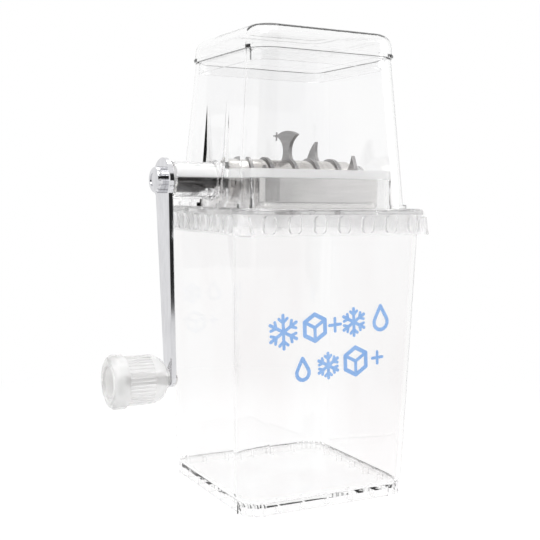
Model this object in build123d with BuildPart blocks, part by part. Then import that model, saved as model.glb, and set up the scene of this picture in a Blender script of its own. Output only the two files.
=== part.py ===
"""Hand-cranked ice crusher in clear plastic: a square tub, a crusher housing that sits on
its rim with the bladed rotor and the side crank, a tall ice hopper and a lift-off lid.

Frame: millimetres, +Z up, origin on the resting plane under the middle of the tub.
The crank stands on the -X side and its shaft runs along X.
"""

from math import cos, radians, sin
import os

from build123d import *

# ---------------------------------------------------------------- driving dimensions
# tub that catches the crushed ice
tub_bottom_half = 48.6  # half width of the outer wall where it starts
tub_top_half = 52.8  # half width of the outer wall at the rim
tub_corner = 13.0  # outer corner radius
tub_wall = 2.2
tub_floor = 3.0
tub_heel = 4.0  # outer rounding where the wall meets the floor
tub_inner_heel = 3.0
tub_sink = 0.7  # how far the wall starts inside the top of the foot
foot_half = 46.6
foot_corner = 11.0
foot_height = 6.2
foot_wall = 2.0
foot_recess = 3.5  # height of the hollow under the floor
foot_flute = 1.5  # radius of the small round flutes on each corner of the foot
foot_flutes = 5  # on each corner
foot_flute_spread = 72.0  # degrees that one corner's flutes span
foot_flute_sink = 0.4
foot_rib_pitch = 14.0
foot_rib = 1.2
foot_rib_length = 4.0
foot_rib_sink = 0.5
tub_rim_height = 147.5  # resting plane to the rim

# crusher housing
deck = 3.0  # thickness of the deck that closes the tub
deck_edge = 1.6
skirt_overlap = 10.1  # how far the skirt reaches down over the tub
skirt_wall = 1.6
skirt_gap = 0.4  # between skirt and tub
skirt_corner = 13.6
pad_width = 6.4
pad_height = 8.4
pad_proud = 2.2
pad_pitch = 13.7
pads_per_side = 7
pad_corner = 2.2
pad_rise = 1.2  # the pads start this far above the skirt's edge
lug_proud = 3.2  # how far the corner lugs stand out from the skirt
lug_reach = 5.8  # how far each lug runs back along its two sides
lug_corner = 17.0
lug_height = 9.0
lug_draft = 8.0  # degrees
locating_wall = 1.8
locating_depth = 6.0
locating_gap = 0.5
rim_half = 40.5  # upright rim that the hopper drops over
rim_wall = 2.6
rim_corner = 7.0
rim_height = 19.0
throat_x = 66.0
throat_y = 55.0
throat_corner = 4.0

# shaft line
shaft_over_deck = 13.1
boss_radius = 9.5
boss_end = 68.3  # distance of the boss's outer face from the middle
bracket_out = 46.8  # distance of the upright bracket's outer face from the middle
bracket = 2.5  # its thickness
bracket_half = 10.8  # its half width and the radius of its top
bracket_fillet = 1.2
journal_radius = 6.2
journal_length = 12.0
nose_length = 6.0  # bullet-shaped step from the journal down to the neck
neck_radius = 4.0
running_gap = 0.08
square_side = 8.0
square_gap = 0.1
end_journal_radius = 4.0
end_journal_length = 6.0
end_boss_length = 7.0
end_boss_proud = 2.0  # how far the far boss stands out from the upright rim
thread_radius = 2.7
thread_gap = 0.2
spigot_gap = 0.05
journal_gap = 0.1  # between the journal's end and the arm's inner face

# rotor
blade_thickness = 2.0
blade_hub_radius = 12.8
blade_tip_radius = 27.0
blade_waist = 6.6  # width of an arm at its narrowest
blade_waist_rise = 4.5  # from the hub's edge to the waist
blade_root_sink = 2.0  # how deep the arm's root lies inside the hub
blade_root_flare = 1.8  # how much wider than the waist each side of the root is
blade_horn_half_angle = 24.0  # degrees from the arm's middle to each horn
blade_first_x = -28.5
blade_pitch = 13.25
blade_arm_spread = 140.0  # degrees between a blade's two arms
blade_leads = [237.0, 250.0, 0.0, 250.0, 83.0]  # degrees of the first arm, front positive
spacer_radius = 11.5
spacer_edge = 0.4
rotor_end_gap = 0.5
end_washer = 1.0
end_washer_radius = 7.5
stack_gap = 0.02  # between neighbours along the shaft

# slotted tray under the rotor
tray_half_x = 34.4
tray_half_y = 36.4
tray_corner = 8.0
tray_bend = 3.0
tray_sheet = 1.0
tray_height = 14.5
slot_width = 8.6
slot_end_gap = 1.6
notch_gap = 0.9
screw_x = 8.6
screw_y = 30.2
screw_radius = 1.5
screw_head_radius = 2.8
screw_head_height = 1.6
screw_head_edge = 0.7
screw_length = 3.4
screw_gap = 0.1

# crank
thrust_washer = 1.8
thrust_washer_radius = 7.4
washer_gap = 0.15
arm_thickness = 3.0
arm_length = 99.0
crank_rest = 5.5  # degrees that the hanging crank stands forward of straight down
arm_head_radius = 11.2
arm_head_half = 8.8  # half width of the straight taper where it leaves the head
arm_tail_radius = 4.9
arm_shoulder = 5.0  # fillet between the round head and the taper
arm_edge = 0.5
arm_square = 5.6  # side of the square drive hole
nut_radius = 6.7
nut_length = 4.6
nut_dome = 2.2
nut_cap = 1.5  # thickness of the nut's closed end
nut_flutes = 16
nut_flute_radius = 0.55
nut_flute_rise = 0.1  # how far the flutes' centres lie outside the nut
nut_gap = 0.05
nut_dimple_radius = 3.2
nut_dimple_depth = 0.4

# knob
knob_radius = 12.2
knob_length = 30.5
knob_neck_radius = 5.0
knob_neck_length = 1.6
knob_shoulder_length = 8.5
knob_rim_radius = 13.4
knob_rim_width = 7.0
knob_rim_edge = 3.0
knob_rim_step = 0.8
knob_flutes = 40
knob_flute_radius = 0.55
knob_flute_rise = 0.15  # how far the flutes' centres lie outside the body
knob_gap = 0.4  # between knob and arm
knob_recess_radius = 8.0
knob_recess_depth = 6.0
cap_thickness = 2.0
cap_gap = 0.1
cap_sink = 0.6  # how far the cap lies inside the knob's rim
cap_edge = 0.8
axle_radius = 3.0
axle_gap = 0.02
axle_head_radius = 4.8
axle_head_height = 1.8
axle_washer = 0.8
axle_washer_radius = 5.8
rivet_radius = 4.2
rivet_height = 1.0
rivet_edge = 0.7

# ice hopper
hopper_bottom_half = 47.2
hopper_top_half = 41.3
hopper_corner = 13.0
hopper_wall = 2.4
hopper_height = 76.7
hopper_foot = 1.8  # thickness of the small outward foot
hopper_foot_proud = 1.6
channel_half_width = 12.0  # upright channel in the crank side
channel_wall = 1.9
channel_gap = 0.7  # between the channel and the upright rim
notch_radius_gap = 0.5

# lid
lid_bottom_half = 42.0
lid_top_half = 41.2
lid_corner = 13.5
lid_height = 12.1
lid_wall = 2.4
lid_edge = 6.5
lid_lip = 1.5  # height of the small bead round the lid's bottom edge
lid_lip_proud = 0.5
lid_web = 2.0  # thickness of the web between lid and plug ring
plug_gap = 0.6
plug_wall = 2.0
plug_depth = 5.5

past = 1.0  # how far an open-ended cut runs past the piece

# ---------------------------------------------------------------- worked-out places
deck_bottom = tub_rim_height
deck_top = deck_bottom + deck
skirt_bottom = tub_rim_height - skirt_overlap
skirt_in = tub_top_half + skirt_gap
skirt_half = skirt_in + skirt_wall
lug_half = skirt_half + lug_proud
lug_start = skirt_half - lug_reach
shaft_z = deck_top + shaft_over_deck
rim_top = deck_top + rim_height
hopper_top = deck_top + hopper_height
blade_xs = [blade_first_x + blade_pitch * n for n in range(len(blade_leads))]
square_hole = square_side + 2 * square_gap
rotor_left = -(rim_half - rim_wall) + rotor_end_gap
end_boss_face = rim_half + end_boss_proud - end_boss_length
rotor_right = end_boss_face - end_washer - rotor_end_gap
arm_in = -(boss_end + thrust_washer + 2 * washer_gap)  # face of the arm nearest the tub
arm_out = arm_in - arm_thickness
knob_y = -arm_length * sin(radians(crank_rest))
knob_z = shaft_z - arm_length * cos(radians(crank_rest))
journal_start = arm_in + journal_gap
knob_in = arm_out - knob_gap
knob_out = knob_in - knob_length

parts_folder = "parts"
os.makedirs(parts_folder, exist_ok=True)


def save(part, name):
    """Labels a finished piece and writes its STEP file."""
    part.label = name
    export_step(part, os.path.join(parts_folder, name + ".step"))


def along_x(x, y=0.0, z=shaft_z):
    """Plane whose normal points along +X, with its origin on the shaft or at (y, z)."""
    return Plane(origin=(x, y, z), x_dir=(0, 1, 0), z_dir=(1, 0, 0))


def along_crank(x):
    """Plane on the shaft in which the crank's arm hangs along the sketch's own -Y."""
    lean = radians(crank_rest)
    return Plane(origin=(x, 0, shaft_z), x_dir=(0, cos(lean), -sin(lean)), z_dir=(1, 0, 0))


def on_knob(x):
    """Plane on the knob's axis, whose normal points along +X."""
    return along_x(x, knob_y, knob_z)


def polar(radius, degrees):
    """Point at a radius, turned from straight up towards +X of the sketch."""
    return (radius * sin(radians(degrees)), radius * cos(radians(degrees)))


# ---------------------------------------------------------------- tub
def wall_half(z, bottom_z, bottom_half, top_z, top_half):
    """Half width at height z of a wall that leans evenly between two heights."""
    return bottom_half + (top_half - bottom_half) * (z - bottom_z) / (top_z - bottom_z)


tub_start = foot_height - tub_sink
tub_inside = foot_recess + tub_floor

with BuildPart() as tub:
    with BuildSketch(Plane.XY.offset(tub_start)):
        RectangleRounded(2 * tub_bottom_half, 2 * tub_bottom_half, tub_corner)
    with BuildSketch(Plane.XY.offset(tub_rim_height)):
        RectangleRounded(2 * tub_top_half, 2 * tub_top_half, tub_corner)
    loft(ruled=True)
    fillet(tub.edges().group_by(Axis.Z)[0], tub_heel)
    # foot: a thin ring, with a rounder flute at each corner
    with BuildSketch():
        RectangleRounded(2 * foot_half, 2 * foot_half, foot_corner)
        corner_middle = foot_half - foot_corner
        flute_turn = foot_corner - foot_flute_sink
        first_flute = (90 - foot_flute_spread) / 2
        for turn in range(4):
            middle = Vector(corner_middle, corner_middle).rotate(Axis.Z, 90 * turn)
            start = 90 * turn + first_flute
            with Locations((middle.X, middle.Y)):
                with PolarLocations(
                    flute_turn, foot_flutes, start, foot_flute_spread, endpoint=True
                ):
                    Circle(foot_flute)
    extrude(amount=foot_height)
    # hollow under the floor
    with BuildSketch():
        hollow_half = foot_half - foot_wall
        RectangleRounded(2 * hollow_half, 2 * hollow_half, foot_corner - foot_wall)
    extrude(amount=foot_recess, mode=Mode.SUBTRACT)
    # short ribs between foot and floor
    rib_middle = foot_half - foot_wall - foot_rib_length / 2 + foot_rib_sink
    for turn in range(4):
        with BuildSketch(Plane.XY.rotated((0, 0, 90 * turn))):
            with Locations((0, rib_middle)):
                with GridLocations(foot_rib_pitch, 1, 5, 1):
                    Rectangle(foot_rib, foot_rib_length)
        extrude(amount=foot_recess)
    # inside of the tub
    inside_bottom = wall_half(tub_inside, tub_start, tub_bottom_half, tub_rim_height, tub_top_half)
    with BuildSketch(Plane.XY.offset(tub_inside)) as tub_inside_bottom:
        RectangleRounded(
            2 * (inside_bottom - tub_wall), 2 * (inside_bottom - tub_wall), tub_corner - tub_wall
        )
    with BuildSketch(Plane.XY.offset(tub_rim_height)) as tub_inside_top:
        RectangleRounded(
            2 * (tub_top_half - tub_wall), 2 * (tub_top_half - tub_wall), tub_corner - tub_wall
        )
    loft(
        [tub_inside_bottom.sketch.face(), tub_inside_top.sketch.face()],
        ruled=True,
        mode=Mode.SUBTRACT,
    )
    floor_edges = tub.edges().filter_by(
        lambda e: abs(e.center().Z - tub_inside) < 0.01
    )
    fillet(floor_edges, tub_inner_heel)
save(tub.part, "ice_tub")

# ---------------------------------------------------------------- crusher housing
with BuildPart() as housing:
    # skirt and deck
    with BuildSketch(Plane.XY.offset(skirt_bottom)):
        RectangleRounded(2 * skirt_half, 2 * skirt_half, skirt_corner)
    extrude(amount=deck_top - skirt_bottom)
    fillet(housing.edges().group_by(Axis.Z)[-1], deck_edge)
    # grip pads along the sides
    for turn in range(4):
        outward = Vector(0, -1, 0).rotate(Axis.Z, 90 * turn)
        sideways = Vector(1, 0, 0).rotate(Axis.Z, 90 * turn)
        side = Plane(origin=(0, 0, 0), x_dir=sideways, z_dir=outward)
        with BuildSketch(side.offset(skirt_half - skirt_wall / 2)):
            with Locations((0, skirt_bottom + pad_rise + pad_height / 2)):
                with GridLocations(pad_pitch, 1, pads_per_side, 1):
                    RectangleRounded(pad_width, pad_height, pad_corner)
        extrude(amount=skirt_wall / 2 + pad_proud)
    # corner lugs
    with BuildSketch(Plane.XY.offset(skirt_bottom)):
        RectangleRounded(2 * lug_half, 2 * lug_half, lug_corner)
        corner_box = lug_half - lug_start
        with GridLocations(lug_start + lug_half, lug_start + lug_half, 2, 2):
            Rectangle(corner_box, corner_box, mode=Mode.INTERSECT)
    extrude(amount=lug_height, taper=lug_draft)
    # room for the tub's wall
    with BuildSketch(Plane.XY.offset(skirt_bottom)):
        RectangleRounded(2 * skirt_in, 2 * skirt_in, tub_corner + skirt_gap)
    extrude(amount=deck_bottom - skirt_bottom, mode=Mode.SUBTRACT)
    # locating ring inside the tub's rim
    ring_half = tub_top_half - tub_wall - locating_gap
    with BuildSketch(Plane.XY.offset(deck_bottom - locating_depth)):
        RectangleRounded(2 * ring_half, 2 * ring_half, tub_corner - tub_wall)
        offset(amount=-locating_wall, mode=Mode.SUBTRACT)
    extrude(amount=locating_depth)
    # upright rim
    with BuildSketch(Plane.XY.offset(deck_top)):
        RectangleRounded(2 * rim_half, 2 * rim_half, rim_corner)
    extrude(amount=rim_height)
    with BuildSketch(Plane.XY.offset(deck_top)):
        rim_in = rim_half - rim_wall
        RectangleRounded(2 * rim_in, 2 * rim_in, rim_corner - rim_wall)
    extrude(amount=rim_height, mode=Mode.SUBTRACT)
    # crank-side bearing boss and the upright bracket at its root
    with BuildSketch(along_x(-boss_end)):
        Circle(boss_radius)
    extrude(amount=boss_end - (rim_half - rim_wall))
    with BuildSketch(along_x(-bracket_out)):
        Circle(bracket_half)
        with Locations((0, -shaft_over_deck / 2)):
            Rectangle(2 * bracket_half, shaft_over_deck)
    extrude(amount=bracket)
    boss_root = housing.edges().filter_by(GeomType.CIRCLE).filter_by(
        lambda e: abs(e.radius - boss_radius) < 0.01 and abs(e.center().X + bracket_out) < 0.01
    )
    fillet(boss_root, bracket_fillet)
    # far bearing boss
    with BuildSketch(along_x(end_boss_face)):
        Circle(boss_radius)
    extrude(amount=end_boss_length)
    # bores
    with BuildSketch(along_x(-boss_end)):
        Circle(journal_radius + running_gap)
    extrude(amount=boss_end - (rim_half - rim_wall), mode=Mode.SUBTRACT)
    with BuildSketch(along_x(end_boss_face)):
        Circle(end_journal_radius + running_gap)
    extrude(amount=end_journal_length, mode=Mode.SUBTRACT)
    # throat that the crushed ice falls through
    with BuildSketch(Plane.XY.offset(deck_bottom)):
        RectangleRounded(throat_x, throat_y, throat_corner)
    extrude(amount=deck, mode=Mode.SUBTRACT)
    # screw holes
    with BuildSketch(Plane.XY.offset(deck_bottom)):
        with GridLocations(2 * screw_x, 2 * screw_y, 2, 2):
            Circle(screw_radius + screw_gap)
    extrude(amount=deck, mode=Mode.SUBTRACT)
save(housing.part, "crusher_housing")

# ---------------------------------------------------------------- slotted tray
with BuildPart() as tray:
    with BuildSketch(Plane.XY.offset(deck_top)):
        RectangleRounded(2 * tray_half_x, 2 * tray_half_y, tray_corner)
    extrude(amount=tray_height)
    fillet(tray.edges().group_by(Axis.Z)[0], tray_bend)
    offset(amount=-tray_sheet, openings=tray.faces().sort_by(Axis.Z)[-1])
    # ends cut round for the rotor
    with BuildSketch(along_x(-tray_half_x - past)):
        Circle(spacer_radius + notch_gap)
    extrude(amount=2 * (tray_half_x + past), mode=Mode.SUBTRACT)
    # a slot for every blade
    slot_reach = (blade_tip_radius**2 - (shaft_z - deck_top) ** 2) ** 0.5 + slot_end_gap
    with BuildSketch(Plane.XY.offset(deck_top)):
        for x in blade_xs:
            with Locations((x, 0)):
                SlotOverall(2 * slot_reach, slot_width, rotation=90)
        with GridLocations(2 * screw_x, 2 * screw_y, 2, 2):
            Circle(screw_radius + screw_gap)
    extrude(amount=tray_sheet, mode=Mode.SUBTRACT)
save(tray.part, "slotted_tray")

with BuildPart() as screws:
    with GridLocations(2 * screw_x, 2 * screw_y, 2, 2):
        with Locations((0, 0, deck_top + tray_sheet)):
            Cylinder(
                screw_head_radius,
                screw_head_height,
                align=(Align.CENTER, Align.CENTER, Align.MIN),
            )
            Cylinder(
                screw_radius, screw_length, align=(Align.CENTER, Align.CENTER, Align.MAX)
            )
    fillet(screws.edges().group_by(Axis.Z)[-1], screw_head_edge)
save(screws.part, "tray_screws")

# ---------------------------------------------------------------- rotor
with BuildPart() as shaft:
    # journal in the crank-side boss, with a bullet-shaped nose down to the neck
    nose_start = -boss_end + journal_length
    with BuildSketch(Plane.XZ):
        with BuildLine():
            wide = Polyline(
                (journal_start, shaft_z),
                (journal_start, shaft_z + journal_radius),
                (nose_start, shaft_z + journal_radius),
            )
            bullet = EllipticalCenterArc(
                (nose_start, shaft_z + neck_radius),
                nose_length,
                journal_radius - neck_radius,
                arc_size=90,
            )
            Polyline(
                bullet @ 0, (rotor_left, shaft_z + neck_radius), (rotor_left, shaft_z), wide @ 0
            )
        make_face()
    revolve(axis=Axis((0, 0, shaft_z), (1, 0, 0)))
    with BuildSketch(along_x(rotor_left)):
        Rectangle(square_side, square_side)
    extrude(amount=rotor_right - rotor_left)
    with BuildSketch(along_x(rotor_right)):
        Circle(end_journal_radius)
    extrude(amount=end_boss_face - rotor_right + end_journal_length - rotor_end_gap)
    # square through the arm, then the threaded end
    with BuildSketch(along_crank(journal_start)):
        spigot = arm_square - 2 * spigot_gap
        Rectangle(spigot, spigot)
    extrude(amount=arm_out - journal_start)
    with BuildSketch(along_x(arm_out)):
        Circle(thread_radius - thread_gap)
    extrude(amount=-(nut_length - nut_cap - 2 * nut_gap))
save(shaft.part, "drive_shaft")


def blade_arm():
    """One arm of a blade, pointing up: a narrow waist that flares into a pair of horns."""
    horn = polar(blade_tip_radius, blade_horn_half_angle)
    waist = (blade_waist / 2, blade_hub_radius + blade_waist_rise)
    root = (blade_waist / 2 + blade_root_flare, blade_hub_radius - blade_root_sink)
    with BuildSketch() as outline:
        with BuildLine():
            right = Spline(root, waist, horn)
            ThreePointArc(horn, (0, blade_tip_radius), (-horn[0], horn[1]))
            mirror(right, about=Plane.YZ)
            Line((-root[0], root[1]), root)
        make_face()
    return outline.sketch


for n, (x, lead) in enumerate(zip(blade_xs, blade_leads), start=1):
    # the sketch's own up is +Z here, and a positive angle leans an arm towards -Y
    with BuildPart() as blade:
        with BuildSketch(along_x(x - blade_thickness / 2)):
            Circle(blade_hub_radius)
            add(blade_arm(), rotation=lead)
            add(blade_arm(), rotation=lead - blade_arm_spread)
            Rectangle(square_hole, square_hole, mode=Mode.SUBTRACT)
        extrude(amount=blade_thickness)
    save(blade.part, f"blade_{n}")

spacer_ends = [rotor_left]
for x in blade_xs:
    spacer_ends += [x - blade_thickness / 2 - stack_gap, x + blade_thickness / 2 + stack_gap]
spacer_ends.append(rotor_right)
for n in range(len(spacer_ends) // 2):
    start = spacer_ends[2 * n]
    end = spacer_ends[2 * n + 1]
    with BuildPart() as spacer:
        with BuildSketch(along_x(start)):
            Circle(spacer_radius)
            Rectangle(square_hole, square_hole, mode=Mode.SUBTRACT)
        extrude(amount=end - start)
        chamfer(spacer.edges().filter_by(GeomType.CIRCLE), spacer_edge)
    save(spacer.part, f"spacer_{n + 1}")

with BuildPart() as washer:
    with BuildSketch(along_x(rotor_right + stack_gap)):
        Circle(end_washer_radius)
        Circle(end_journal_radius + 2 * running_gap, mode=Mode.SUBTRACT)
    extrude(amount=end_washer)
save(washer.part, "end_washer")

# ---------------------------------------------------------------- crank
with BuildPart() as thrust:
    with BuildSketch(along_x(-boss_end - washer_gap)):
        Circle(thrust_washer_radius)
        Circle(journal_radius + 2 * running_gap, mode=Mode.SUBTRACT)
    extrude(amount=-thrust_washer)
save(thrust.part, "thrust_washer")

with BuildPart() as arm:
    with BuildSketch(along_crank(arm_out)) as arm_shape:
        Circle(arm_head_half)
        with Locations((0, -arm_length)):
            Circle(arm_tail_radius)
        make_hull()
        Circle(arm_head_radius)
        neck_corners = arm_shape.vertices().filter_by(
            lambda v: shaft_z - arm_head_radius < v.Z < shaft_z - arm_head_radius / 2
        )
        fillet(neck_corners, arm_shoulder)
    extrude(amount=arm_thickness)
    chamfer(arm.faces().filter_by(Axis.X).edges(), arm_edge)
    with BuildSketch(along_crank(arm_out)):
        Rectangle(arm_square, arm_square)
        with Locations((0, -arm_length)):
            Circle(axle_radius + axle_gap)
    extrude(amount=arm_thickness, mode=Mode.SUBTRACT)
save(arm.part, "crank_arm")

with BuildPart() as nut:
    with BuildSketch(along_x(arm_out - nut_gap)):
        Circle(nut_radius)
    extrude(amount=-nut_length)
    fillet(nut.faces().sort_by(Axis.X)[0].edges(), nut_dome)
    with BuildSketch(along_x(arm_out - nut_gap)):
        with PolarLocations(nut_radius + nut_flute_rise, nut_flutes):
            Circle(nut_flute_radius)
    extrude(amount=-nut_length, mode=Mode.SUBTRACT)
    with BuildSketch(along_x(arm_out - nut_gap - nut_length)):
        Circle(nut_dimple_radius)
    extrude(amount=nut_dimple_depth, mode=Mode.SUBTRACT)
    with BuildSketch(along_x(arm_out - nut_gap)):
        Circle(thread_radius)
    extrude(amount=-(nut_length - nut_cap), mode=Mode.SUBTRACT)
save(nut.part, "cap_nut")

# ---------------------------------------------------------------- knob
with BuildPart() as knob:
    bore = knob_z + axle_radius + running_gap
    body_start = knob_out + knob_rim_width + knob_rim_step
    shoulder = knob_in - knob_neck_length - knob_shoulder_length
    with BuildSketch(Plane.XZ.offset(-knob_y)):
        with BuildLine():
            neck = Polyline(
                (knob_in, bore),
                (knob_in, knob_z + knob_neck_radius),
                (shoulder + knob_shoulder_length, knob_z + knob_neck_radius),
            )
            EllipticalCenterArc(
                (shoulder, knob_z + knob_neck_radius),
                knob_shoulder_length,
                knob_radius - knob_neck_radius,
                arc_size=90,
            )
            Polyline(
                (shoulder, knob_z + knob_radius),
                (body_start, knob_z + knob_radius),
                (knob_out + knob_rim_width, knob_z + knob_rim_radius),
                (knob_out, knob_z + knob_rim_radius),
                (knob_out, knob_z + knob_recess_radius),
                (knob_out + knob_recess_depth, knob_z + knob_recess_radius),
                (knob_out + knob_recess_depth, bore),
                neck @ 0,
            )
        make_face()
    revolve(axis=Axis((0, knob_y, knob_z), (1, 0, 0)))
    fillet(knob.faces().sort_by(Axis.X)[0].outer_wire().edges(), knob_rim_edge)
    with BuildSketch(on_knob(body_start)):
        with PolarLocations(knob_radius + knob_flute_rise, knob_flutes):
            Circle(knob_flute_radius)
    extrude(amount=shoulder - body_start, mode=Mode.SUBTRACT)
save(knob.part, "knob_grip")

with BuildPart() as cap:
    with BuildSketch(on_knob(knob_out + cap_sink)):
        Circle(knob_recess_radius - cap_gap)
    extrude(amount=cap_thickness)
    fillet(cap.faces().sort_by(Axis.X)[0].edges(), cap_edge)
save(cap.part, "knob_end_cap")

head_in = knob_out + knob_recess_depth - axle_washer - 2 * washer_gap
with BuildPart() as axle:
    with BuildSketch(on_knob(head_in)):
        Circle(axle_head_radius)
    extrude(amount=-axle_head_height)
    with BuildSketch(on_knob(head_in)):
        Circle(axle_radius)
    extrude(amount=arm_in - head_in)
    with BuildSketch(on_knob(arm_in)):
        Circle(rivet_radius)
    extrude(amount=rivet_height)
    fillet(axle.faces().sort_by(Axis.X)[-1].edges(), rivet_edge)
save(axle.part, "knob_axle")

with BuildPart() as axle_ring:
    with BuildSketch(on_knob(head_in + washer_gap)):
        Circle(axle_washer_radius)
        Circle(axle_radius + 2 * running_gap, mode=Mode.SUBTRACT)
    extrude(amount=axle_washer)
save(axle_ring.part, "knob_washer")

# ---------------------------------------------------------------- ice hopper
channel_face = rim_half + channel_gap + channel_wall  # outer face of the upright channel
with BuildPart() as hopper:
    with BuildSketch(Plane.XY.offset(deck_top)):
        RectangleRounded(2 * hopper_bottom_half, 2 * hopper_bottom_half, hopper_corner)
    with BuildSketch(Plane.XY.offset(hopper_top)):
        RectangleRounded(2 * hopper_top_half, 2 * hopper_top_half, hopper_corner)
    loft(ruled=True)
    # small foot
    foot_out = hopper_bottom_half + hopper_foot_proud
    with BuildSketch(Plane.XY.offset(deck_top)):
        RectangleRounded(2 * foot_out, 2 * foot_out, hopper_corner + hopper_foot_proud)
    extrude(amount=hopper_foot)
    # channel outside
    channel_depth = foot_out + past - channel_face
    with BuildSketch(Plane.XY.offset(deck_top)):
        with Locations((-channel_face - channel_depth / 2, 0)):
            Rectangle(channel_depth, 2 * channel_half_width)
    extrude(amount=hopper_height, mode=Mode.SUBTRACT)
    # inside, with the back of the channel left standing
    with BuildPart(mode=Mode.PRIVATE) as inside:
        with BuildSketch(Plane.XY.offset(deck_top)):
            half = hopper_bottom_half - hopper_wall
            RectangleRounded(2 * half, 2 * half, hopper_corner - hopper_wall)
        with BuildSketch(Plane.XY.offset(hopper_top)):
            half = hopper_top_half - hopper_wall
            RectangleRounded(2 * half, 2 * half, hopper_corner - hopper_wall)
        loft(ruled=True)
        channel_back = channel_face - channel_wall
        with BuildSketch(Plane.XY.offset(deck_top)):
            behind = hopper_bottom_half - channel_back
            with Locations((-channel_back - behind / 2, 0)):
                Rectangle(behind, 2 * (channel_half_width + channel_wall))
        extrude(amount=hopper_height, mode=Mode.SUBTRACT)
    add(inside.part, mode=Mode.SUBTRACT)
    # notch that clears the bearing boss
    notch_radius = boss_radius + notch_radius_gap
    with BuildSketch(along_x(-foot_out - past)):
        Circle(notch_radius)
        with Locations((0, -notch_radius)):
            Rectangle(2 * notch_radius, 2 * notch_radius)
    extrude(amount=foot_out - channel_back + 2 * past, mode=Mode.SUBTRACT)
save(hopper.part, "ice_hopper")

# ---------------------------------------------------------------- lid
with BuildPart() as lid:
    with BuildSketch(Plane.XY.offset(hopper_top)):
        RectangleRounded(2 * lid_bottom_half, 2 * lid_bottom_half, lid_corner)
    with BuildSketch(Plane.XY.offset(hopper_top + lid_height)):
        RectangleRounded(2 * lid_top_half, 2 * lid_top_half, lid_corner)
    loft(ruled=True)
    fillet(lid.edges().group_by(Axis.Z)[-1], lid_edge)
    # bead round the bottom edge
    lip_half = lid_bottom_half + lid_lip_proud
    with BuildSketch(Plane.XY.offset(hopper_top)):
        RectangleRounded(2 * lip_half, 2 * lip_half, lid_corner + lid_lip_proud)
    extrude(amount=lid_lip)
    # hollow
    with BuildPart(mode=Mode.PRIVATE) as lid_hollow:
        with BuildSketch(Plane.XY.offset(hopper_top)):
            half = lid_bottom_half - lid_wall
            RectangleRounded(2 * half, 2 * half, lid_corner - lid_wall)
        with BuildSketch(Plane.XY.offset(hopper_top + lid_height - lid_wall)):
            half = lid_top_half - lid_wall
            RectangleRounded(2 * half, 2 * half, lid_corner - lid_wall)
        loft(ruled=True)
        fillet(lid_hollow.edges().group_by(Axis.Z)[-1], lid_edge - lid_wall)
    add(lid_hollow.part, mode=Mode.SUBTRACT)
    # plug ring that drops inside the hopper, and the web that carries it
    plug_half = hopper_top_half - hopper_wall - plug_gap
    plug_corner = hopper_corner - hopper_wall - plug_gap
    with BuildSketch(Plane.XY.offset(hopper_top - plug_depth)):
        RectangleRounded(2 * plug_half, 2 * plug_half, plug_corner)
        offset(amount=-plug_wall, mode=Mode.SUBTRACT)
    extrude(amount=plug_depth + lid_web)
    with BuildSketch(Plane.XY.offset(hopper_top)):
        RectangleRounded(2 * lid_bottom_half, 2 * lid_bottom_half, lid_corner)
        with BuildSketch(mode=Mode.PRIVATE) as plug_hole:
            half = plug_half - plug_wall
            RectangleRounded(2 * half, 2 * half, plug_corner - plug_wall)
        add(plug_hole.sketch, mode=Mode.SUBTRACT)
    extrude(amount=lid_web)
save(lid.part, "lid")
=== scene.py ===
"""Looks of the hand-cranked ice crusher: clear moulded plastic, chromed crank, steel rotor."""

from math import cos, pi, radians, sin

import bpy
from mathutils import Matrix, Vector


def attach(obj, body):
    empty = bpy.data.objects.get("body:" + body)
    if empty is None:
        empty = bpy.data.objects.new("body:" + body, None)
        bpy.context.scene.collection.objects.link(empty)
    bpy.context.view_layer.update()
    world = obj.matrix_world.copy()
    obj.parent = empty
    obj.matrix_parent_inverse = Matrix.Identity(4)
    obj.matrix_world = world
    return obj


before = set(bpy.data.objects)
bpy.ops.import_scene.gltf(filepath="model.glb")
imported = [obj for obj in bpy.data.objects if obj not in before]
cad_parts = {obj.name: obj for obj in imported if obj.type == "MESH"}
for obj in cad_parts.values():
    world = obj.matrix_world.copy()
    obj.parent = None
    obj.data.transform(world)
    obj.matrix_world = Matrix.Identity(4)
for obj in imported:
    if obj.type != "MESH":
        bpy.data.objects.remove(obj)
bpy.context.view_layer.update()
MM = 0.001

# ---------------------------------------------------------------- camera
CAMERA_PLACE = Vector((-0.24557, -0.44407, 0.15847))
CAMERA_HEADING = 27.54  # degrees from +Y towards +X
CAMERA_PITCH = 5.03  # degrees down
CAMERA_ROLL = 0.68
CAMERA_LENS = 62.77
CAMERA_SENSOR = 36.0
CAMERA_SHIFT = (0.0089, 0.0079)


def add_camera():
    data = bpy.data.cameras.new("camera")
    data.sensor_width = CAMERA_SENSOR
    data.lens = CAMERA_LENS
    data.shift_x, data.shift_y = CAMERA_SHIFT
    data.clip_start = 0.01
    camera = bpy.data.objects.new("camera", data)
    bpy.context.scene.collection.objects.link(camera)
    camera.matrix_world = (
        Matrix.Translation(CAMERA_PLACE)
        @ Matrix.Rotation(radians(-CAMERA_HEADING), 4, "Z")
        @ Matrix.Rotation(radians(90 - CAMERA_PITCH), 4, "X")
        @ Matrix.Rotation(radians(CAMERA_ROLL), 4, "Z")
    )
    bpy.context.scene.camera = camera


# ---------------------------------------------------------------- node helpers
def new_material(name):
    """An empty material and its node tree."""
    material = bpy.data.materials.new(name)
    material.use_nodes = True
    tree = material.node_tree
    tree.nodes.clear()
    return material, tree


def node(tree, kind, inputs=None, **settings):
    """Adds a node. inputs maps a socket to a value or to the output that feeds it."""
    made = tree.nodes.new(kind)
    for key, value in settings.items():
        setattr(made, key, value)
    for key, value in (inputs or {}).items():
        if isinstance(value, bpy.types.NodeSocket):
            tree.links.new(value, made.inputs[key])
        else:
            made.inputs[key].default_value = value
    return made


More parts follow.
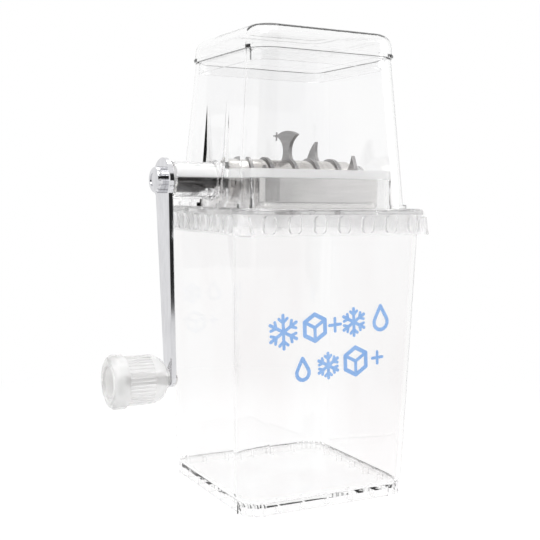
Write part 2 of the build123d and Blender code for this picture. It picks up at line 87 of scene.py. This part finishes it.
def ramp(tree, factor, stops):
    """Colour ramp through (position, colour) stops."""
    made = node(tree, "ShaderNodeValToRGB", {"Fac": factor})
    elements = made.color_ramp.elements
    while len(elements) < len(stops):
        elements.new(0.5)
    for element, (position, colour) in zip(elements, stops):
        element.position = position
        element.color = (*colour, 1.0)
    return made.outputs["Color"]


def span(tree, value, low, high):
    """Maps 0..1 to low..high."""
    return node(
        tree, "ShaderNodeMapRange", {"Value": value, "To Min": low, "To Max": high}
    ).outputs["Result"]


def calc(tree, operation, first, second=None):
    """The result of one operation on one or two values."""
    values = {0: first} if second is None else {0: first, 1: second}
    return node(tree, "ShaderNodeMath", values, operation=operation).outputs["Value"]


def grey(level):
    return (level, level, level, 1.0)


def place(tree, scale=(1.0, 1.0, 1.0)):
    """The surface's own coordinates in metres, stretched by scale."""
    source = node(tree, "ShaderNodeTexCoord").outputs["Object"]
    return node(tree, "ShaderNodeMapping", {"Vector": source, "Scale": scale}).outputs["Vector"]


def noise(tree, vector, scale, detail=2.0, roughness=0.5):
    return node(
        tree,
        "ShaderNodeTexNoise",
        {"Vector": vector, "Scale": scale, "Detail": detail, "Roughness": roughness},
    ).outputs["Fac"]


def bump(tree, height, strength, distance):
    inputs = {"Height": height, "Strength": strength, "Distance": distance}
    return node(tree, "ShaderNodeBump", inputs).outputs["Normal"]


def output(tree, surface):
    node(tree, "ShaderNodeOutputMaterial", {"Surface": surface})


# ---------------------------------------------------------------- materials
PLASTIC_IOR = 1.49
WAVINESS = 0.06
WAVE_HEIGHT = 0.0012
LAMP_SHARE = 0.93  # share of the lamps' light that passes the plastic
BAND_EDGE = 0.4 * MM

# Heights of the frosted bands, on the crusher at rest
COLLAR_BAND = (137.0 * MM, 149.6 * MM)
BOSS_TOP_BAND = (165.2 * MM, 170.5 * MM)
KNOB_BAND = (40.0 * MM, 90.0 * MM)  # reaches past the knob on both sides


def band(tree, low, high, soft):
    """1 between two heights of the surface's own coordinates, fading over soft."""
    height = node(tree, "ShaderNodeSeparateXYZ", {0: place(tree)}).outputs["Z"]
    away = calc(tree, "ABSOLUTE", calc(tree, "SUBTRACT", height, (low + high) / 2))
    half = (high - low) / 2
    limits = {"From Min": half - soft, "From Max": half + soft, "To Min": 1.0, "To Max": 0.0}
    return node(tree, "ShaderNodeMapRange", {"Value": away, **limits}).outputs["Result"]


def clear_plastic(name, tint, deep_tint, roughness=0.012, frosted=()):
    """Clear injection-moulded plastic: faint streaks of tint, slow waves, fine haze.

    Each frosted entry has a band's two heights in metres, its roughness and how much light
    it lets through.
    """
    material, tree = new_material(name)
    cloud = noise(tree, place(tree, (1.0, 1.0, 0.35)), 26.0, 3.0)
    colour = ramp(tree, cloud, [(0.42, tint), (0.68, deep_tint)])
    haze = noise(tree, place(tree), 90.0, 4.0, 0.6)
    wave = noise(tree, place(tree, (1.0, 1.0, 0.5)), 38.0, 1.0)
    plastic = node(
        tree,
        "ShaderNodeBsdfPrincipled",
        {
            "Base Color": colour,
            "Roughness": span(tree, haze, roughness * 0.5, roughness * 1.8),
            "IOR": PLASTIC_IOR,
            "Transmission Weight": 1.0,
            "Normal": bump(tree, wave, WAVINESS, WAVE_HEIGHT),
        },
    )
    for (low, high), rough, through in frosted:
        frost = band(tree, low, high, BAND_EDGE)
        for socket, value in (("Roughness", rough), ("Transmission Weight", through)):
            clear = plastic.inputs[socket]
            before = clear.links[0].from_socket if clear.links else clear.default_value
            mix = node(tree, "ShaderNodeMix", {"Factor": frost, "A": before, "B": value})
            tree.links.new(mix.outputs["Result"], clear)
    shadow_ray = node(tree, "ShaderNodeLightPath").outputs["Is Shadow Ray"]
    open_pane = node(tree, "ShaderNodeBsdfTransparent", {"Color": grey(LAMP_SHARE)}).outputs[0]
    lets_lamps_in = node(
        tree, "ShaderNodeMixShader", {0: shadow_ray, 1: plastic.outputs["BSDF"], 2: open_pane}
    )
    output(tree, lets_lamps_in.outputs[0])
    return material


def metal(name, dark, light, roughness, grain, grain_scale=900.0, bump_strength=0.05):
    """Metal with a fine directional grain, in relief where bump_strength is above 0.

    grain stretches the grain's coordinates.
    """
    material, tree = new_material(name)
    lines = noise(tree, place(tree, grain), grain_scale, 4.0, 0.6)
    patches = noise(tree, place(tree), 60.0, 3.0)
    half = calc(tree, "MULTIPLY", calc(tree, "ADD", lines, patches), 0.5)
    colour = ramp(tree, half, [(0.36, dark), (0.62, light)])
    inputs = {
        "Base Color": colour,
        "Metallic": 1.0,
        "Roughness": span(tree, half, roughness * 0.7, roughness * 1.35),
    }
    if bump_strength > 0:
        inputs["Normal"] = bump(tree, lines, bump_strength, 0.0001)
    body = node(tree, "ShaderNodeBsdfPrincipled", inputs)
    output(tree, body.outputs["BSDF"])
    return material


def moulded_plastic(name, base, shade, roughness):
    """Plain opaque plastic with a fine moulded grain."""
    material, tree = new_material(name)
    grain = noise(tree, place(tree), 1400.0, 3.0)
    body = node(
        tree,
        "ShaderNodeBsdfPrincipled",
        {
            "Base Color": ramp(tree, grain, [(0.3, shade), (0.7, base)]),
            "Roughness": span(tree, grain, roughness * 0.85, roughness * 1.2),
            "Normal": bump(tree, grain, 0.08, 0.0001),
        },
    )
    output(tree, body.outputs["BSDF"])
    return material


def print_ink(name):
    """Screen-printed pale blue ink, slightly uneven where the film is thin."""
    material, tree = new_material(name)
    film = noise(tree, place(tree), 420.0, 5.0, 0.65)
    edge = noise(tree, place(tree), 60.0, 2.0)
    tone = calc(tree, "MULTIPLY", film, edge)
    body = node(
        tree,
        "ShaderNodeBsdfPrincipled",
        {
            "Base Color": ramp(
                tree, tone, [(0.14, (0.25, 0.45, 0.83)), (0.42, (0.36, 0.56, 0.90))]
            ),
            "Roughness": span(tree, film, 0.32, 0.5),
            "Normal": bump(tree, film, 0.1, 0.00005),
        },
    )
    output(tree, body.outputs["BSDF"])
    return material


def dress(material, *names):
    """Gives a CAD node's slots a better material."""
    for name in names:
        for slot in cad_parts[name].material_slots:
            slot.material = material


def dress_all():
    white = (0.985, 0.985, 0.985)
    dress(clear_plastic("clear_tub", white, (0.955, 0.945, 0.945)), "ice_tub")
    dress(clear_plastic("clear_hopper", white, (0.965, 0.965, 0.97)), "ice_hopper")
    dress(clear_plastic("clear_lid", white, (0.965, 0.965, 0.965)), "lid")
    housing = clear_plastic(
        "clear_housing",
        white,
        (0.965, 0.96, 0.965),
        0.03,
        frosted=((COLLAR_BAND, 0.14, 0.84), (BOSS_TOP_BAND, 0.5, 0.45)),
    )
    dress(housing, "crusher_housing")
    knob = clear_plastic(
        "clear_knob",
        (0.95, 0.95, 0.95),
        (0.88, 0.875, 0.87),
        0.03,
        frosted=((KNOB_BAND, 0.16, 0.68),),
    )
    dress(knob, "knob_grip", "knob_end_cap")
    chrome = metal(
        "chrome", (0.62, 0.62, 0.64), (0.72, 0.72, 0.74), 0.07, (1.0, 1.0, 0.2), 500.0, 0.02
    )
    dress(chrome, "crank_arm", "cap_nut")
    turned = metal("turned_steel", (0.50, 0.49, 0.48), (0.66, 0.65, 0.64), 0.16, (1.0, 0.05, 0.05))
    dress(turned, "knob_axle")
    # The drive shaft's near-black colour is painted shade, not a finish of the steel: it stands in
    # for the dark shadowy reflection round the shaft inside the boss.
    shaft_painted_dark = metal(
        "painted_shade_steel", (0.02, 0.02, 0.02), (0.05, 0.045, 0.045), 0.2, (1.0, 0.05, 0.05)
    )
    dress(shaft_painted_dark, "drive_shaft")
    blade = metal(
        "blade_steel", (0.24, 0.235, 0.235), (0.36, 0.35, 0.35), 0.34, (1.0, 0.1, 1.0), 900.0, 0.0
    )
    blade_nodes = [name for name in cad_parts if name.startswith("blade_")]
    dress(blade, *blade_nodes)
    spacer = metal("spacer_alloy", (0.52, 0.50, 0.48), (0.70, 0.68, 0.66), 0.2, (1.0, 0.05, 0.05))
    spacer_nodes = [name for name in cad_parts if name.startswith("spacer_")]
    dress(spacer, *spacer_nodes)
    sheet = metal("stainless_sheet", (0.70, 0.69, 0.68), (0.80, 0.79, 0.78), 0.16, (0.05, 1.0, 1.0))
    dress(sheet, "slotted_tray", "tray_screws")
    washer = moulded_plastic("white_washers", (0.85, 0.85, 0.84), (0.76, 0.76, 0.75), 0.45)
    dress(washer, "thrust_washer", "end_washer", "knob_washer")


# ---------------------------------------------------------------- print on the tub's front
PRINT_MIDDLE = Vector((-1.8 * MM, 0.0, 83.2 * MM))
PRINT_TILT = 4.0  # degrees, both rows rise to the right
STROKE = 1.05 * MM  # half width of a stroke
ROW_GAP = 20.0 * MM
INK_LIFT = 0.03 * MM
INK_THICKNESS = 0.08 * MM
INK_STEP = 0.01 * MM  # each stroke lies this much above the last, so none are coplanar
ROUND_STEPS = 10  # steps round each end of a stroke
FRONT_FACING = -0.98  # a face of the tub's front points at least this far along Y
FRONT_FROM = -46.0 * MM  # and its centre lies beyond this


def capsule(start, end, half_width):
    """Outline of a stroke with round ends."""
    along = Vector(end) - Vector(start)
    turn = along.angle_signed(Vector((1, 0))) if along.length > 0 else 0.0
    points = []
    for middle, first in ((end, -90), (start, 90)):
        for n in range(ROUND_STEPS + 1):
            angle = turn + radians(first + 180 * n / ROUND_STEPS)
            points.append(
                (middle[0] + half_width * cos(angle), middle[1] + half_width * sin(angle))
            )
    return points


def snowflake(radius):
    """Six-armed snowflake with one pair of branches on each arm."""
    shapes = []
    for n in range(6):
        angle = radians(60 * n + 90)
        arm = Vector((cos(angle), sin(angle)))
        if n < 3:
            shapes.append(capsule(-arm * radius, arm * radius, STROKE * 0.8))
        fork = arm * radius * 0.55
        for side in (-1, 1):
            lean = angle + side * radians(48)
            tip = fork + Vector((cos(lean), sin(lean))) * radius * 0.38
            shapes.append(capsule(fork, tip, STROKE * 0.7))
    return shapes


def ice_cube(size):
    """Outline of a cube seen from a corner, with its three inner edges."""
    corners = [
        Vector((cos(radians(60 * n + 30)), sin(radians(60 * n + 30)))) * size for n in range(6)
    ]
    shapes = [capsule(corners[n], corners[(n + 1) % 6], STROKE) for n in range(6)]
    shapes += [capsule(Vector((0, 0)), corners[n], STROKE * 0.8) for n in (0, 2, 4)]
    return shapes


def droplet(size):
    """Outline of a drop: a round belly drawn up to a point."""
    belly = [
        Vector((cos(radians(a)), sin(radians(a)))) * size * 0.62 - Vector((0, size * 0.3))
        for a in range(145, 396, 25)
    ]
    tip = Vector((0, size))
    line = [tip] + belly + [tip]
    return [capsule(a, b, STROKE * 0.9) for a, b in zip(line, line[1:])]


def sparkle(size):
    """Upright cross."""
    return [
        capsule(Vector((0, -size)), Vector((0, size)), STROKE * 0.75),
        capsule(Vector((-size, 0)), Vector((size, 0)), STROKE * 0.75),
    ]


PRINT_ROWS = (
    # (height over the middle, [(motif, size, place along the row)])
    (
        ROW_GAP / 2,
        [
            (snowflake, 8.2 * MM, -28.0 * MM),
            (ice_cube, 6.6 * MM, -10.5 * MM),
            (sparkle, 3.2 * MM, 1.0 * MM),
            (snowflake, 6.8 * MM, 12.0 * MM),
            (droplet, 6.4 * MM, 28.0 * MM),
        ],
    ),
    (
        -ROW_GAP / 2,
        [
            (droplet, 5.6 * MM, -18.0 * MM),
            (snowflake, 6.2 * MM, -3.5 * MM),
            (ice_cube, 7.0 * MM, 12.5 * MM),
            (sparkle, 3.0 * MM, 25.5 * MM),
        ],
    ),
)


def front_wall_plane():
    """A point on the tub's front face and the direction up along it, read from the tub's mesh."""
    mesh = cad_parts["ice_tub"].data
    face = max(
        (p for p in mesh.polygons if p.normal.y < FRONT_FACING and p.center.y < FRONT_FROM),
        key=lambda p: p.area,
    )
    up = Vector((1, 0, 0)).cross(face.normal).normalized()
    if up.z < 0:
        up = -up
    return face.center.copy(), up, face.normal.copy()


def add_print(ink):
    """The printed band of snowflakes, ice cubes, drops and sparkles."""
    point, up, outward = front_wall_plane()
    middle = PRINT_MIDDLE.copy()
    middle.y = point.y + (middle.z - point.z) * up.y / up.z
    right = Vector((1, 0, 0))
    tilt = Matrix.Rotation(radians(PRINT_TILT), 2)
    verts, faces = [], []
    for height, motifs in PRINT_ROWS:
        for motif, size, along in motifs:
            for step, outline in enumerate(motif(size)):
                lift = INK_LIFT + INK_THICKNESS + INK_STEP * step
                flat = [tilt @ Vector((x + along, y + height)) for x, y in outline]
                back = [middle + right * p.x + up * p.y + outward * INK_LIFT for p in flat]
                front = [middle + right * p.x + up * p.y + outward * lift for p in flat]
                base = len(verts)
                count = len(flat)
                verts += back + front
                faces.append([base + n for n in range(count)])
                faces.append([base + count + n for n in reversed(range(count))])
                for n in range(count):
                    m = (n + 1) % count
                    faces.append([base + m, base + n, base + count + n, base + count + m])
    mesh = bpy.data.meshes.new("front_print")
    mesh.from_pydata(verts, [], faces)
    mesh.validate()
    mesh.materials.append(ink)
    piece = bpy.data.objects.new("front_print", mesh)
    bpy.context.scene.collection.objects.link(piece)
    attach(piece, "tub")


# ---------------------------------------------------------------- stage and light
FLOOR_RADIUS = 4.0
FLOOR_NEAR = 0.06  # metres from the middle where the floor starts to fade to plain white
FLOOR_FAR = 0.34  # and where it has become plain white
FLOOR_SIDES = 96
FLOOR_DROP = 0.0002  # metres below the foot, so the two aren't coplanar
FLOOR_PLAIN = 0.8
FLOOR_SHADED = 0.3
FLOOR_GLOW = 0.74


def seen_rays(tree):
    """1 for camera, mirror and see-through rays."""
    path = node(tree, "ShaderNodeLightPath")
    either = calc(tree, "MAXIMUM", path.outputs["Is Camera Ray"], path.outputs["Is Glossy Ray"])
    return calc(tree, "MAXIMUM", either, path.outputs["Is Transmission Ray"])


def add_floor():
    """Pale floor that reads white and keeps a soft shadow."""
    material, tree = new_material("floor")
    plain = node(tree, "ShaderNodeBsdfDiffuse", {"Color": grey(FLOOR_PLAIN)}).outputs[0]
    shaded = node(tree, "ShaderNodeBsdfDiffuse", {"Color": grey(FLOOR_SHADED)}).outputs[0]
    glow = node(tree, "ShaderNodeEmission", {"Color": grey(1.0), "Strength": FLOOR_GLOW}).outputs[0]
    near = node(tree, "ShaderNodeAddShader", {0: shaded, 1: glow}).outputs[0]
    white = node(tree, "ShaderNodeEmission", {"Color": grey(1.0), "Strength": 1.0}).outputs[0]
    distance = node(
        tree, "ShaderNodeVectorMath", {0: place(tree)}, operation="LENGTH"
    ).outputs["Value"]
    fade = node(
        tree,
        "ShaderNodeMapRange",
        {"Value": distance, "From Min": FLOOR_NEAR, "From Max": FLOOR_FAR},
        interpolation_type="SMOOTHSTEP",
    ).outputs["Result"]
    seen = node(tree, "ShaderNodeMixShader", {0: fade, 1: near, 2: white}).outputs[0]
    mixed = node(tree, "ShaderNodeMixShader", {0: seen_rays(tree), 1: plain, 2: seen})
    output(tree, mixed.outputs[0])
    angles = [2 * pi * n / FLOOR_SIDES for n in range(FLOOR_SIDES)]
    verts = [(FLOOR_RADIUS * cos(angle), FLOOR_RADIUS * sin(angle), 0.0) for angle in angles]
    mesh = bpy.data.meshes.new("floor")
    mesh.from_pydata(verts, [], [list(range(FLOOR_SIDES))])
    mesh.materials.append(material)
    floor = bpy.data.objects.new("floor", mesh)
    floor.location.z = -FLOOR_DROP
    bpy.context.scene.collection.objects.link(floor)


DARK_FROM = -62.0  # headings of the unlit part of the studio, from -Y towards +X
DARK_TO = 29.0
DARK_EDGE = 3.0  # degrees over which it fades
DARK_TOP = 0.52  # sine of the elevation where the bright ceiling starts
DARK_TOP_EDGE = 0.05
DARK_TONE = 0.025
STUDIO_LIGHT = 0.55  # the world's light on matt surfaces
THROUGH_PLASTIC_LIFT = 0.35  # how much paler that part shows through the clear plastic


def add_world():
    """White all round, but for an unlit part of the studio behind the camera.

    Mirrors show that part in full and the clear plastic shows it paler. The camera doesn't see it.
    """
    world = bpy.data.worlds.new("studio")
    world.use_nodes = True
    tree = world.node_tree
    tree.nodes.clear()
    generated = node(tree, "ShaderNodeTexCoord").outputs["Generated"]
    direction = node(tree, "ShaderNodeSeparateXYZ", {0: generated})
    ahead = calc(tree, "MULTIPLY", direction.outputs["Y"], -1.0)
    heading = calc(tree, "ARCTAN2", direction.outputs["X"], ahead)
    turn = node(
        tree, "ShaderNodeMapRange", {"Value": heading, "From Min": -pi, "From Max": pi}
    ).outputs["Result"]
    dark = (DARK_TONE, DARK_TONE, DARK_TONE)
    white = (1.0, 1.0, 1.0)
    around = ramp(
        tree,
        turn,
        [
            (0.5 + (DARK_FROM - DARK_EDGE) / 360, white),
            (0.5 + (DARK_FROM + DARK_EDGE) / 360, dark),
            (0.5 + (DARK_TO - DARK_EDGE) / 360, dark),
            (0.5 + (DARK_TO + DARK_EDGE) / 360, white),
        ],
    )
    ceiling = [(DARK_TOP - DARK_TOP_EDGE, dark), (DARK_TOP + DARK_TOP_EDGE, white)]
    above = ramp(tree, direction.outputs["Z"], ceiling)
    tone = node(
        tree,
        "ShaderNodeMix",
        {"Factor": 1.0, "A": around, "B": above},
        data_type="RGBA",
        blend_type="LIGHTEN",
    ).outputs["Result"]
    path = node(tree, "ShaderNodeLightPath")
    through = path.outputs["Is Transmission Ray"]
    mirrored = calc(tree, "MAXIMUM", path.outputs["Is Glossy Ray"], through)
    softer = calc(tree, "MULTIPLY", through, THROUGH_PLASTIC_LIFT)
    darkness = calc(tree, "SUBTRACT", mirrored, softer)
    picture = node(
        tree,
        "ShaderNodeMix",
        {"Factor": darkness, "A": grey(1.0), "B": tone},
        data_type="RGBA",
    )
    seen = node(tree, "ShaderNodeBackground", {"Color": picture.outputs["Result"], "Strength": 1.0})
    light = node(tree, "ShaderNodeBackground", {"Color": grey(1.0), "Strength": STUDIO_LIGHT})
    mixed = node(
        tree,
        "ShaderNodeMixShader",
        {0: seen_rays(tree), 1: light.outputs[0], 2: seen.outputs[0]},
    )
    node(tree, "ShaderNodeOutputWorld", {"Surface": mixed.outputs[0]})
    bpy.context.scene.world = world


LAMP_TARGET = Vector((0, 0, 0.12))


def add_softbox(name, place_m, size, power):
    """Square soft lamp that looks at the middle of the crusher."""
    data = bpy.data.lights.new(name, "AREA")
    data.shape = "SQUARE"
    data.size = size
    data.energy = power
    lamp = bpy.data.objects.new(name, data)
    lamp.location = place_m
    lamp.rotation_euler = (LAMP_TARGET - Vector(place_m)).to_track_quat("-Z", "Y").to_euler()
    bpy.context.scene.collection.objects.link(lamp)


def add_lights():
    add_softbox("key", (-0.9, -0.7, 1.3), 0.9, 11.0)
    add_softbox("fill", (1.1, -0.5, 0.7), 0.9, 5.0)
    add_softbox("top", (0.1, 0.4, 1.6), 1.0, 8.0)


# ---------------------------------------------------------------- the whole scene
add_camera()
dress_all()
add_print(print_ink("print_ink"))
add_floor()
add_world()
add_lights()

scene = bpy.context.scene
scene.view_settings.view_transform = "Standard"
scene.cycles.max_bounces = 32
scene.cycles.transmission_bounces = 32
scene.cycles.glossy_bounces = 12
scene.cycles.transparent_max_bounces = 32
